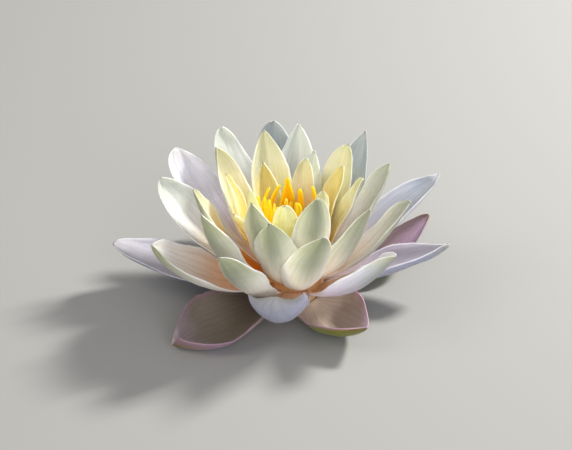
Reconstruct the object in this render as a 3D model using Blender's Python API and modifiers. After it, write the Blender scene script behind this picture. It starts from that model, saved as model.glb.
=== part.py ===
"""A white water lily bloom as picked, standing on the cut end of a short stub of stalk.

Forty petals and four sepals grow in nine whorls from the side of a round receptacle. Broad and slim
stamens and the stigma stand on its top. Lengths are in millimetres and angles in degrees until a mesh
is made, and every blade is described by where it points and how its midrib climbs.
"""

import math
import random
from dataclasses import dataclass

import bmesh
import bpy

MM = 0.001

# The receptacle is a turned body: an arc of BULB_ARC struck from a point BULB_OUT from the axis.
BULB_OUT = 3.0
BULB_ARC = 9.2
BULB_MID = 9.3
BULB_LOWEST = -50.0
BULB_HIGHEST = 62.0
BULB_ARC_STEPS = 8
TURN_STEPS = 28

STALK_RADIUS = 4.2

# Blades stand clear of the receptacle by SEAT_GAP and are BLADE thick. A root bends round the receptacle
# over its first ROOT_HUG, and widens by ROOT_FLARE along the whole blade until the blade's own outline.
SEAT_GAP = 0.3
BLADE = 0.7
ROOT_SHARE = 0.07
ROOT_HUG = 0.3
ROOT_FLARE = 50.0
TIP_HALF_WIDTH = 0.7

# Where each whorl sits on the receptacle's arc, from the sepals (0) up to the innermost petals (8).
WHORL_SEAT = (-34.0, -13.0, -1.0, 9.5, 20.0, 30.0, 40.0, 50.0, 60.0)

FIRST_SMALL_WHORL = 6

# Stamens and stigma
BROAD_COUNT = 13
BROAD_RING = 6.3
BROAD_FIRST = 95.0
BROAD_WIDTHS = (6.5, 4.0)
SLIM_COUNT = 20
SLIM_RING = 5.0
COLLAR_WIDTH = 0.9
COLLAR_HEIGHT = 1.3
STIGMA_RADIUS = 4.1
STIGMA_RAYS = 14

STALK_COLOUR = (0.20, 0.16, 0.06)
RECEPTACLE_COLOUR = (0.62, 0.60, 0.30)
SEPAL_COLOUR = (0.62, 0.55, 0.52)
PETAL_COLOURS = {
    1: (0.78, 0.74, 0.80),
    2: (0.80, 0.79, 0.80),
    3: (0.82, 0.83, 0.76),
    4: (0.84, 0.84, 0.74),
    5: (0.86, 0.85, 0.66),
    6: (0.87, 0.84, 0.56),
    7: (0.89, 0.80, 0.42),
    8: (0.90, 0.76, 0.34),
}
BROAD_COLOUR = (0.93, 0.50, 0.04)
SLIM_COLOUR = (0.95, 0.62, 0.05)
STIGMA_COLOUR = (0.85, 0.70, 0.15)


@dataclass
class Blade:
    """One petal, sepal or broad stamen."""

    heading: float
    rise: float
    length: float
    width: float
    # How far the midrib turns upwards from root to tip, and further still in its outer half
    bend: float = None
    hook: float = 0.0
    # Half of the arc that the blade's section bends through, its share at the root, and where it is full
    cup: float = 42.0
    root_cup: float = 0.5
    cupped_by: float = 0.35
    # Half of the root's width
    root: float = 4.2
    # Turn about the midrib at the tip, sideways bulge of the midrib, and turn of the root about the axis
    twist: float = 0.0
    bow: float = 0.0
    swing: float = 0.0
    # Lower point is a blunter tip; higher fullness is a widest place nearer the tip
    point: float = 0.66
    fullness: float = 1.3
    name: str = ""


SEPALS = [
    Blade(219, -2, 45, 28, bend=14, cup=60, twist=38, bow=-1.5, point=0.68, fullness=0.9,
          name="sepal_front_left"),
    Blade(306, 12, 41, 33, bend=72, cup=68, twist=-20, bow=-1, fullness=0.9,
          name="sepal_front_right"),
    Blade(34, 13, 57, 20, bend=60, cup=46, bow=2, fullness=1.1, name="sepal_back_right"),
    Blade(125, 8, 52, 28, bend=52, cup=34, fullness=1.1, name="sepal_back_left"),
]

# Petals, whorl by whorl from the lowest and outermost
PETALS = {
    1: [
        Blade(171, 11, 57, 24, cup=40, point=0.5),
        Blade(6, 15, 50, 20, bend=24, point=0.55),
        Blade(66, 14, 48, 21),
        Blade(112, 14, 50, 21),
    ],
    2: [
        Blade(195, 30, 48, 25, bend=52, cup=48, bow=-2.5, point=0.5),
        Blade(17, 37, 57, 22, bend=6, point=0.55),
        Blade(319, 38, 49, 23, bend=44, cup=46, point=0.55),
        Blade(92, 26, 50, 20),
        Blade(138, 28, 50, 20),
    ],
    3: [
        Blade(239, 41, 51, 24, cup=48, root=2.8, point=0.55),
        Blade(261, 11, 36.5, 32, bend=50, hook=99, cup=90, root_cup=0.1, cupped_by=0.7, root=4.8,
              swing=15, twist=-8, fullness=2.6, point=0.62),
        Blade(166, 42, 52.5, 22, point=0.5),
        Blade(62, 36, 45, 19),
    ],
    4: [
        Blade(348, 48, 48, 19, twist=15, point=0.5),
        Blade(98, 46, 54, 19),
        Blade(149, 45, 55, 22, bow=-1.5, point=0.42, fullness=1.6),
        Blade(219, 53, 51, 21),
        Blade(285, 51, 51, 20, cup=50, bow=2.5),
        Blade(48, 55, 54, 18),
    ],
    5: [
        Blade(129, 54, 53, 18, point=0.5),
        Blade(86, 51, 50, 17),
        Blade(14, 56, 48, 17),
        Blade(319, 56, 48, 18),
        Blade(257, 58, 47, 19),
        Blade(199, 57, 49, 17),
    ],
    6: [
        Blade(154, 64, 48, 17),
        Blade(44, 64, 45, 18),
        Blade(242, 64, 47, 16),
        Blade(290, 69, 46, 17),
        Blade(108, 60, 46.5, 17),
    ],
    7: [
        Blade(8, 62, 38, 12),
        Blade(71, 62, 38, 12),
        Blade(304, 74, 42, 12),
        Blade(231, 70, 44, 11),
        Blade(171, 67, 39, 12),
        Blade(121, 71, 35, 12),
    ],
    8: [
        Blade(73, 71, 35, 10.5),
        Blade(29, 67, 37, 11),
        Blade(264, 68, 39, 12),
        Blade(202, 59, 28.5, 8.5),
    ],
}


def bulb_point(angle, clear=0.0):
    """Distance from the axis and height of a point on the receptacle's arc."""
    a = math.radians(angle)
    reach = BULB_ARC + clear
    return BULB_OUT + reach * math.cos(a), BULB_MID + reach * math.sin(a)


def climb(blade, seat, u):
    """Slope of the midrib at u: it starts square to the receptacle unless bend says otherwise."""
    bend = 1.5 * (blade.rise - seat) if blade.bend is None else blade.bend
    start = blade.rise - bend * 2 / 3
    hooked = blade.hook * max(0.0, 2 * u - 1) ** 1.5
    return math.radians(start + bend * (1 - (1 - u) ** 2) + hooked)


def midrib(blade, seat, start, steps=40):
    """Points (distance from axis, height) along the midrib, from the seat out."""
    out, up = start
    stride = blade.length / steps
    points = [(out, up)]
    for step in range(steps):
        slope = climb(blade, seat, (step + 0.5) / steps)
        out += stride * math.cos(slope)
        up += stride * math.sin(slope)
        points.append((out, up))
    return points


def along(points, u):
    """The point at share u of an evenly stepped midrib."""
    place = u * (len(points) - 1)
    low = min(int(place), len(points) - 2)
    part = place - low
    a, b = points[low], points[low + 1]
    return a[0] + (b[0] - a[0]) * part, a[1] + (b[1] - a[1]) * part


def half_width(blade, u):
    """Half of the flattened width at u: narrow at the root, full near the middle, pointed."""
    s = ROOT_SHARE + (1 - ROOT_SHARE) * u**blade.fullness
    swell = math.sin(math.pi * min(s, 1.0))
    half = blade.width / 2 * max(swell, 0.0) ** blade.point
    return max(min(half, blade.root + ROOT_FLARE * u), TIP_HALF_WIDTH)


def least_reach(up, clear):
    """How far from the axis a point at this height must be to stand clear of the receptacle."""
    limit = BULB_ARC + clear
    rise = up - BULB_MID
    return BULB_OUT + math.sqrt(max(limit**2 - rise**2, 0.0))


def blade_point(blade, seat, rib, u, v):
    """A point of the blade: u runs from root to tip, v from edge to edge (-1 to 1)."""
    out, up = along(rib, u)
    slope = climb(blade, seat, u)
    wide = half_width(blade, u)
    share = blade.root_cup + (1 - blade.root_cup) * min(1.0, u / blade.cupped_by)
    curl = math.radians(blade.cup) * share
    side = wide / curl * math.sin(curl * v)
    lift = wide / curl * (1 - math.cos(curl * v))
    turn = math.radians(blade.twist * u)
    across = side * math.cos(turn) - lift * math.sin(turn) + blade.bow * 4 * u * (1 - u)
    lift = side * math.sin(turn) + lift * math.cos(turn)
    ring = rib[0][0]
    hug = ring - math.sqrt(max(ring**2 - across**2, 0.0))
    out -= hug * max(0.0, 1 - u / ROOT_HUG) ** 2
    out -= lift * math.sin(slope)
    up += lift * math.cos(slope)
    # A blade seated on the receptacle's side is pushed out wherever it would cut into it.
    reach = math.hypot(out, across)
    need = least_reach(up, SEAT_GAP + BLADE / 2 * min(1.0, u / 0.05))
    if seat < BULB_HIGHEST and reach < need:
        out *= need / reach
        across *= need / reach
    h = math.radians(blade.heading + blade.swing * (1 - u) ** 2)
    x = out * math.cos(h) + across * math.sin(h)
    y = out * math.sin(h) - across * math.cos(h)
    return x * MM, y * MM, up * MM


def move_to_collection(thing, collection):
    for owner in list(thing.users_collection):
        owner.objects.unlink(thing)
    collection.objects.link(thing)


def paint(thing, colour, roughness):
    """Give the object its own material."""
    material = bpy.data.materials.new(thing.name)
    material.use_nodes = True
    shader = material.node_tree.nodes["Principled BSDF"]
    shader.inputs["Base Color"].default_value = (*colour, 1.0)
    shader.inputs["Roughness"].default_value = roughness
    shader.inputs["Metallic"].default_value = 0.0
    thing.data.materials.clear()
    thing.data.materials.append(material)


def apply_modifiers(thing):
    """Replace the object's mesh by its evaluated one."""
    seen = thing.evaluated_get(bpy.context.evaluated_depsgraph_get())
    mesh = bpy.data.meshes.new_from_object(seen)
    thing.modifiers.clear()
    thing.data = mesh


def grow_blade(name, blade, seat, start, columns, rows, collection):
    """A grid shaped by the formula, split into triangles, and given its thickness."""
    bpy.ops.mesh.primitive_grid_add(x_subdivisions=columns, y_subdivisions=rows, size=2)
    sheet = bpy.context.active_object
    move_to_collection(sheet, collection)
    sheet.name = name
    rib = midrib(blade, seat, start)
    for vertex in sheet.data.vertices:
        u = 1 - (0.5 - vertex.co.y / 2) ** 1.3
        vertex.co = blade_point(blade, seat, rib, u, vertex.co.x)
    surface = bmesh.new()
    surface.from_mesh(sheet.data)
    bmesh.ops.triangulate(surface, faces=surface.faces, quad_method="SHORT_EDGE")
    surface.to_mesh(sheet.data)
    surface.free()
    wall = sheet.modifiers.new("thickness", "SOLIDIFY")
    wall.thickness = BLADE * MM
    wall.offset = 0.0
    sheet.data.shade_smooth()
    return sheet


def turned(name, profile, collection, closed=False):
    """A body turned about Z; the profile runs down its outer side."""
    mesh = bpy.data.meshes.new(name)
    edges = [(i, i + 1) for i in range(len(profile) - 1)]
    if closed:
        edges.append((len(profile) - 1, 0))
    mesh.from_pydata([(x * MM, 0.0, z * MM) for x, z in profile], edges, [])
    body = bpy.data.objects.new(name, mesh)
    collection.objects.link(body)
    screw = body.modifiers.new("turn", "SCREW")
    screw.axis = "Z"
    screw.steps = TURN_STEPS
    screw.render_steps = TURN_STEPS
    screw.use_merge_vertices = True
    screw.merge_threshold = 0.00001
    return body


def fuse(name, body, pieces):
    """One body of the collar or bowl and the pieces whose roots are sunk in it."""
    apply_modifiers(body)
    union = body.modifiers.new("join", "BOOLEAN")
    union.operation = "UNION"
    union.operand_type = "COLLECTION"
    union.collection = pieces
    apply_modifiers(body)
    for piece in list(pieces.objects):
        bpy.data.objects.remove(piece)
    bpy.data.collections.remove(pieces)
    body.name = name
    return body


def spike(heading, out, up, slope, length, root, tip, collection):
    """A four-sided stamen or ray, leaning out of the vertical at the given heading."""
    bpy.ops.mesh.primitive_cone_add(vertices=4, radius1=root * MM, radius2=tip * MM, depth=length * MM)
    thing = bpy.context.active_object
    move_to_collection(thing, collection)
    h = math.radians(heading)
    a = math.radians(slope)
    for vertex in thing.data.vertices:
        across, depth = vertex.co.x, vertex.co.y
        height = vertex.co.z + length * MM / 2
        radial = out * MM + height * math.cos(a) + depth * math.sin(a)
        z = up * MM + height * math.sin(a) - depth * math.cos(a)
        vertex.co = (
            radial * math.cos(h) - across * math.sin(h),
            radial * math.sin(h) + across * math.cos(h),
            z,
        )
    return thing


def make_stalk(collection):
    top = bulb_point(BULB_LOWEST)[1] - SEAT_GAP
    profile = [(0.0, top), (STALK_RADIUS, top), (STALK_RADIUS, 0.0), (0.0, 0.0)]
    stalk = turned("stalk", profile, collection)
    paint(stalk, STALK_COLOUR, 0.6)
    return stalk


def make_receptacle(collection):
    step = (BULB_HIGHEST - BULB_LOWEST) / BULB_ARC_STEPS
    arc = [bulb_point(BULB_HIGHEST - step * i) for i in range(BULB_ARC_STEPS + 1)]
    profile = [(0.0, arc[0][1])] + arc + [(0.0, arc[-1][1])]
    bulb = turned("receptacle", profile, collection)
    paint(bulb, RECEPTACLE_COLOUR, 0.6)
    return bulb


def make_sepals(collection):
    seat = WHORL_SEAT[0]
    start = bulb_point(seat, SEAT_GAP)
    for blade in SEPALS:
        sepal = grow_blade(blade.name, blade, seat, start, 6, 7, collection)
        paint(sepal, SEPAL_COLOUR, 0.5)


def make_petals(collection):
    for whorl, blades in PETALS.items():
        seat = WHORL_SEAT[whorl]
        start = bulb_point(seat, SEAT_GAP)
        columns, rows = (6, 7) if whorl < FIRST_SMALL_WHORL else (4, 6)
        for number, blade in enumerate(blades, 1):
            name = f"petal_{whorl}_{number}"
            petal = grow_blade(name, blade, seat, start, columns, rows, collection)
            paint(petal, PETAL_COLOURS[whorl], 0.5)


def collar(name, radius, base, collection):
    inner, outer = radius - COLLAR_WIDTH / 2, radius + COLLAR_WIDTH / 2
    top = base + COLLAR_HEIGHT
    profile = [(inner, top), (outer, top), (outer, base), (inner, base)]
    return turned(name, profile, collection, closed=True)


def make_broad_stamens(collection):
    """Flat, petal-like stamens in a ring; the broadest stands at the back."""
    draw = random.Random(5)
    base = bulb_point(BULB_HIGHEST)[1] + SEAT_GAP
    pieces = bpy.data.collections.new("broad stamens")
    bpy.context.scene.collection.children.link(pieces)
    for i in range(BROAD_COUNT):
        heading = BROAD_FIRST + i * 360 / BROAD_COUNT
        wide = BROAD_WIDTHS[0] if i == 0 else BROAD_WIDTHS[1]
        length = draw.uniform(24, 28)
        blade = Blade(heading, 81, length, wide, bend=10, cup=30, point=0.6, fullness=0.7)
        grow_blade(f"stamen {i}", blade, 90.0, (BROAD_RING, base + 0.3), 2, 4, pieces)
    body = fuse("stamens_broad", collar("collar", BROAD_RING, base, collection), pieces)
    paint(body, BROAD_COLOUR, 0.5)


def make_slim_stamens(collection):
    draw = random.Random(8)
    base = bulb_point(BULB_HIGHEST)[1] + SEAT_GAP
    pieces = bpy.data.collections.new("slim stamens")
    bpy.context.scene.collection.children.link(pieces)
    for i in range(SLIM_COUNT):
        heading = i * 360 / SLIM_COUNT + draw.uniform(-3, 3)
        length = draw.uniform(19, 23)
        spike(heading, SLIM_RING, base + 0.3, 86, length, 0.6, 0.4, pieces)
    body = fuse("stamens_slim", collar("collar", SLIM_RING, base, collection), pieces)
    paint(body, SLIM_COLOUR, 0.5)


def make_stigma(collection):
    """A shallow bowl with a knob at its middle and a ring of short rays bent inwards."""
    base = bulb_point(BULB_HIGHEST)[1] + SEAT_GAP
    section = [(0.0, 1.8), (0.8, 1.5), (1.1, 0.7), (3.0, 0.9), (STIGMA_RADIUS, 1.8), (3.4, 0.0), (0.0, 0.0)]
    bowl = turned("bowl", [(x, base + z) for x, z in section], collection)
    pieces = bpy.data.collections.new("stigma rays")
    bpy.context.scene.collection.children.link(pieces)
    for i in range(STIGMA_RAYS):
        spike(i * 360 / STIGMA_RAYS, STIGMA_RADIUS - 0.6, base + 0.9, 104, 2.8, 0.5, 0.3, pieces)
    body = fuse("stigma", bowl, pieces)
    paint(body, STIGMA_COLOUR, 0.5)


def centre_on_axes(collection):
    """Hang every piece on one empty, and bring the middle of the bloom's box over the origin."""
    bloom = bpy.data.objects.new("bloom", None)
    collection.objects.link(bloom)
    seen = bpy.context.evaluated_depsgraph_get()
    corners = []
    for thing in collection.objects:
        if thing.type == "MESH":
            thing.parent = bloom
            mesh = thing.evaluated_get(seen).to_mesh()
            corners += [vertex.co.copy() for vertex in mesh.vertices]
    for axis in (0, 1):
        low = min(corner[axis] for corner in corners)
        high = max(corner[axis] for corner in corners)
        bloom.location[axis] = -(low + high) / 2


def main():
    for thing in list(bpy.data.objects):
        bpy.data.objects.remove(thing)
    collection = bpy.data.collections.new("water_lily")
    bpy.context.scene.collection.children.link(collection)
    make_stalk(collection)
    make_receptacle(collection)
    make_sepals(collection)
    make_petals(collection)
    make_broad_stamens(collection)
    make_slim_stamens(collection)
    make_stigma(collection)
    centre_on_axes(collection)


main()
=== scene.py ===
"""The dressed water lily bloom: finer petals, sepals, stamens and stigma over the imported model.

Lengths are in millimetres and angles in degrees until a mesh is made. Every blade follows the same rule
as its solid: where it points, how its midrib climbs, and how its section curls.
"""

import math
import random
from dataclasses import dataclass
from typing import Callable

import bpy
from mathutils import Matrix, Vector, noise


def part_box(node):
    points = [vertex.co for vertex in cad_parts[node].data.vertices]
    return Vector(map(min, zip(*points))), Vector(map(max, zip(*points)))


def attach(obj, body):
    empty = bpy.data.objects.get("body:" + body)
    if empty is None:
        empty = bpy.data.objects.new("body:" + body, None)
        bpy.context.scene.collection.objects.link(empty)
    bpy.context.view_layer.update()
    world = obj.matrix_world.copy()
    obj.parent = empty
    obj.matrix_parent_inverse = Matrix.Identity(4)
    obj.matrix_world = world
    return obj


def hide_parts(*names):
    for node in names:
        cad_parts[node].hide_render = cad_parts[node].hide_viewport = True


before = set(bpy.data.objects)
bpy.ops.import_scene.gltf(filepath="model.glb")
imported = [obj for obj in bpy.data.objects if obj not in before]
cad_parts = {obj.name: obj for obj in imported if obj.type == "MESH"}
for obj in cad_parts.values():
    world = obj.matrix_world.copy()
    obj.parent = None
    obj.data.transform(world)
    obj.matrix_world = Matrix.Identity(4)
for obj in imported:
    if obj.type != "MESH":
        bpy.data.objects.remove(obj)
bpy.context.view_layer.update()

MM = 0.001
bpy.ops.object.select_all(action="DESELECT")

# The middle of the receptacle is the flower's axis
receptacle_low, receptacle_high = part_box("receptacle")
AXIS_X = (receptacle_low.x + receptacle_high.x) / 2
AXIS_Y = (receptacle_low.y + receptacle_high.y) / 2

# Receptacle: an arc of radius BULB_ARC, struck from a point BULB_OUT from the axis and BULB_MID up
BULB_OUT = 3.0
BULB_ARC = 9.2
BULB_MID = 9.3
BULB_LOWEST = -50.0
BULB_HIGHEST = 62.0
BULB_STEPS = 24
BULB_SIDES = 72

# Stalk, a little narrower at its cut foot and rounded off at both ends
STALK_RADIUS = 4.2
STALK_FOOT_INSET = 0.3
STALK_EDGE = 0.2
STALK_SIDES = 48
# Edges of the receptacle and the stalk look smooth where they bend by less than this
SMOOTH_UNDER = 40

# Blades stand SEAT_GAP clear of the receptacle, and a margin has THIN_MARGIN of a blade's thickness
SEAT_GAP = 0.3
BLADE = 0.7
THIN_MARGIN = 0.45
# Angle on the receptacle's arc of the sepals' seat, and then of each whorl of petals
WHORL_SEAT = (-34.0, -13.0, -1.0, 9.5, 20.0, 30.0, 40.0, 50.0, 60.0)
# Shares of the length over which a root bends round the receptacle, gains its clearance and its relief
ROOT_HUG = 0.3
ROOT_CLEARING = 0.05
ROOT_SMOOTH = 0.35

# Outline: the root's start on the curve of widths and how fast its half width may grow along the length,
# the bluntest end, the half width at the tip and the share of it that the rounding leaves
ROOT_SHARE = 0.07
ROOT_FLARE = 50.0
BLUNTEST = 0.25
TIP_HALF_WIDTH = 0.7
TIP_LEFT = 0.35
# The outline wanders in long and short waves, each side in its own way
LONG_WAVES = 5
SHORT_WAVES = 17
SHORT_SHARE = 0.4
SIDE_SHIFT = 4.0
SHORT_SHIFT = 7

# Relief: waves along a margin, MARGIN_STEP radians further on at the other one, and ribs across the blade
MARGIN_WAVES = 2.3
MARGIN_STEP = 1.7
RIB_HEIGHT = 0.06
RIB_CLOSENESS = 17
# Swells and dimples: height, and closeness across and along the blade
SWELLS = (0.5, 1.2, 3.4)
DIMPLES = (0.16, 3, 8)

# Where each starts and how far it runs: shares of the length, and for the lip of the half width
HOOK = (0.5, 0.5)
HOOD = (0.82, 0.18)
NOTCH = (0.8, 0.2)
LIP = (0.45, 0.55)
# How far a notch reaches to either side, as a share of the half width
NOTCH_HALF_WIDTH = 0.4

# A blade's number turns its waves by PHASE_STEP radians and moves its veins by VEIN_STEP
PHASE_STEP = 2.4
VEIN_STEP = 1.7
SEPALS_COUNT_FROM = 50
# Columns and rows of the grid that a blade is shaped from, with rows drawn together towards the tip
SEPAL_GRID = (28, 44)
WIDE_GRID = (26, 44)
NARROW_GRID = (20, 36)
ROW_CROWDING = 1.3


@dataclass
class Blade:
    """One petal or sepal. It heads right at 0 degrees and back at 90, and rise is its mean slope."""

    heading: float
    rise: float
    length: float
    width: float
    # How far the midrib turns upwards from root to tip, and further still in its outer half
    bend: float = None
    hook: float = 0.0
    # Half of the arc that the section bends through, its share at the root, and where it is full
    cup: float = 42.0
    root_cup: float = 0.5
    cupped_by: float = 0.35
    # Half of the root's width
    root: float = 4.2
    # Turn about the midrib at the tip, sideways bulge of the midrib, and turn of the root about the axis
    twist: float = 0.0
    bow: float = 0.0
    swing: float = 0.0
    # Lower point is a blunter tip; higher fullness is a widest place nearer the tip, by skew more so on the
    # side of negative v
    point: float = 0.66
    fullness: float = 1.3
    skew: float = 0.0
    # Sharpness of the outer half's outline, and how much sharper it is on the side of positive v
    tip: float = None
    lean: float = 0.0
    # How far the outline wanders, as a share of the width
    ragged: float = 0.07
    # Depth of the fold along the midrib, and height of the margin's waves
    keel: float = 0.8
    wave: float = 0.35
    # Depth of the tip's notch, inward curl of the tip, and height that the margin of negative v turns up by
    notch: float = 0.0
    hood: float = 0.0
    lip: float = 0.0


SEPALS = {
    "sepal_front_left": Blade(219, -2, 45, 31, bend=14, cup=55, twist=38, bow=-1.5, point=0.68,
                              fullness=1.2, lip=5.5),
    "sepal_front_right": Blade(305, 12, 41, 33, bend=72, cup=71, twist=-15, bow=-0.5, swing=6,
                               fullness=0.85, ragged=0.02),
    "sepal_back_right": Blade(34, 13, 57, 20, bend=60, cup=46, bow=2, fullness=1.1),
    "sepal_back_left": Blade(125, 8, 52, 22, bend=52, cup=34, bow=1, fullness=1.1),
}

# Petals, whorl by whorl from the lowest and outermost
PETALS = {
    1: [
        Blade(171, 11, 57.5, 24, cup=40, point=0.5, keel=0.5, hood=12),
        Blade(6, 15, 50, 20.5, bend=24, cup=60, twist=6, point=0.6, lean=-0.6, keel=1.2, hood=15),
        Blade(66, 14, 48, 21),
        Blade(112, 14, 50, 21),
    ],
    2: [
        Blade(195, 27, 48.5, 28.5, bend=44, cup=48, twist=6, bow=-2, point=0.5, tip=0.5, fullness=1.45,
              skew=0.25, lean=0.08, keel=0.6, hood=40),
        Blade(17, 37, 58, 22, bend=6, point=0.55, tip=0.8, keel=2.0, hood=20),
        Blade(319, 38, 49, 27, bend=44, cup=50, point=0.55, tip=0.62, fullness=1.2, lean=-0.2, keel=1.0),
        Blade(92, 26, 50, 20),
        Blade(138, 28, 50, 20),
    ],
    3: [
        Blade(239, 41, 51, 24, cup=48, root=2.8, point=0.55, tip=0.8, fullness=1.2, skew=0.3, lean=0.35,
              keel=0.8),
        Blade(261, 11, 36.5, 32, bend=50, hook=99, cup=90, root_cup=0.1, cupped_by=0.7, root=4.8,
              swing=15, twist=-8, fullness=2.6, point=0.62, keel=0.6, notch=0.8),
        Blade(166, 42, 53.3, 20.5, twist=34, bow=3, point=0.5, tip=0.58, lean=0.08, keel=0.6, hood=14),
        Blade(62, 36, 45, 19),
    ],
    4: [
        Blade(348, 47, 49, 18.5, twist=-12, point=0.5, tip=0.45, lean=-0.1, ragged=0.02, keel=0.5),
        Blade(98, 46, 54, 18, tip=0.48, lean=0.1, keel=0.8, wave=0.5, hood=20),
        Blade(149, 45, 56.3, 19.5, bend=50, twist=24, bow=2, root=3.0, point=1.0, tip=0.58, fullness=2.5,
              skew=1.3, lean=0.2, keel=0.5, notch=1.8),
        Blade(219, 53, 51, 21, tip=0.78, keel=1.5),
        Blade(285, 51, 51, 20, cup=50, bow=2.5, tip=0.75, lean=0.1, keel=0.9),
        Blade(48, 55, 54, 18, tip=0.85, keel=2.4),
    ],
    5: [
        Blade(129, 54, 53, 18, point=0.5, tip=0.55, lean=0.15, keel=0.6, wave=1.1, notch=0.8),
        Blade(86, 51, 50, 17, tip=0.8, keel=1.2),
        Blade(14, 56, 48, 17, tip=0.42, lean=-0.12, keel=0.5, wave=0.6),
        Blade(319, 56, 48, 19.5, bow=0.8, tip=0.85, keel=1.2),
        Blade(257, 58, 47, 18.5, bow=-0.8, tip=0.9, lean=0.1, keel=1.5),
        Blade(199, 57, 49, 20, cup=34, twist=15, tip=0.8, keel=1.4),
    ],
    6: [
        Blade(154, 64, 48, 19, bow=0.8, tip=0.8, keel=1.8, wave=0.5),
        Blade(44, 64, 45, 18, tip=0.55, keel=0.6),
        Blade(242, 64, 47, 16, bow=-0.5, tip=0.95, lean=0.1, keel=1.5),
        Blade(290, 69, 46, 17, tip=0.62, lean=0.15, keel=0.7),
        Blade(108, 60, 46.5, 17, tip=0.75, keel=0.9),
    ],
    7: [
        Blade(8, 62, 38, 12, tip=0.45, keel=0.5, notch=0.5),
        Blade(71, 62, 38, 12, tip=0.85, keel=1.0),
        Blade(304, 74, 42, 12, tip=0.55, keel=0.8),
        Blade(231, 70, 44, 11, tip=0.8, keel=0.9),
        Blade(171, 67, 39, 12),
        Blade(121, 71, 35, 12, tip=0.85, keel=0.7),
    ],
    8: [
        Blade(73, 71, 35, 10.5, tip=0.5, keel=0.4),
        Blade(29, 67, 37, 11, tip=0.5, keel=0.5),
        Blade(264, 68, 38.5, 11.5, tip=0.5, keel=0.4),
        Blade(202, 59, 28.5, 8.5),
    ],
}


# The rule that shapes every blade

def past(value, start, span):
    """How far value is past start, as a share of span; 0 before it."""
    return max(0.0, (value - start) / span)


def bulb_point(angle, clear=0.0):
    """Distance from the axis and height of a point on the receptacle's arc, or clear of it."""
    a = math.radians(angle)
    reach = BULB_ARC + clear
    return BULB_OUT + reach * math.cos(a), BULB_MID + reach * math.sin(a)


def climb(blade, seat, u):
    """Slope of the midrib at u: it starts square to the receptacle unless bend says otherwise."""
    bend = 1.5 * (blade.rise - seat) if blade.bend is None else blade.bend
    start = blade.rise - bend * 2 / 3
    hooked = blade.hook * past(u, *HOOK) ** 1.5 + blade.hood * past(u, *HOOD) ** 2
    return math.radians(start + bend * (1 - (1 - u) ** 2) + hooked)


def midrib(blade, seat, steps=80):
    """Points (distance from axis, height) along the midrib, from the seat out."""
    out, up = bulb_point(seat, SEAT_GAP)
    stride = blade.length / steps
    points = [(out, up)]
    for step in range(steps):
        slope = climb(blade, seat, (step + 0.5) / steps)
        out += stride * math.cos(slope)
        up += stride * math.sin(slope)
        points.append((out, up))
    return points


def along(points, u):
    """The point at share u of an evenly stepped midrib."""
    place = u * (len(points) - 1)
    low = min(int(place), len(points) - 2)
    part = place - low
    a, b = points[low], points[low + 1]
    return a[0] + (b[0] - a[0]) * part, a[1] + (b[1] - a[1]) * part


def half_width(blade, u, v):
    """Half of the flattened width at u, on the side of v, with the very end rounded off."""
    fullness = blade.fullness - blade.skew if v > 0 else blade.fullness + blade.skew
    s = ROOT_SHARE + (1 - ROOT_SHARE) * u**fullness
    swell = math.sin(math.pi * min(s, 1.0))
    sharpness = blade.point
    if s > 0.5:
        sharpness = blade.tip or blade.point
        sharpness = max(BLUNTEST, sharpness + (blade.lean if v > 0 else -blade.lean))
    half = blade.width / 2 * max(swell, 0.0) ** sharpness
    half = max(min(half, blade.root + ROOT_FLARE * u), TIP_HALF_WIDTH)
    side = SIDE_SHIFT if v > 0 else 0.0
    long_waves = noise.noise(Vector((LONG_WAVES * u, side, blade.heading)))
    short_waves = noise.noise(Vector((SHORT_WAVES * u, side + SHORT_SHIFT, blade.heading)))
    half *= 1 + blade.ragged * (long_waves + SHORT_SHARE * short_waves)
    left = (1 - u) * blade.length / TIP_HALF_WIDTH
    return half * (TIP_LEFT + (1 - TIP_LEFT) * math.sqrt(1 - (1 - left) ** 2)) if left < 1 else half


def least_reach(up, clear):
    """How far from the axis a point at this height must be to stand clear of the receptacle."""
    limit = BULB_ARC + clear
    rise = up - BULB_MID
    return BULB_OUT + math.sqrt(max(limit**2 - rise**2, 0.0))


def relief(blade, u, v, phase):
    """Small rise of the surface: waves along the margin, the midrib's fold, faint ribs and soft dimples."""
    free = min(1.0, u / ROOT_SMOOTH)
    edge = abs(v) ** 3
    side = MARGIN_STEP if v > 0 else 0.0
    waves = blade.wave * edge * math.sin(2 * math.pi * MARGIN_WAVES * u + phase + side)
    fold = -blade.keel * (1 - abs(v)) ** 1.6 * (1 - u**6)
    ribs = RIB_HEIGHT * math.cos(v * RIB_CLOSENESS + phase) * (1 - edge)
    height, across, lengthwise = SWELLS
    swells = height * noise.noise(Vector((across * v + 3 * phase, lengthwise * u, phase)))
    height, across, lengthwise = DIMPLES
    dimples = height * noise.noise(Vector((across * v, lengthwise * u, 2 * phase)))
    turned_up = blade.lip * past(-v, *LIP) ** 2
    return free * (waves + fold + ribs + swells + dimples + turned_up)


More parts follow.
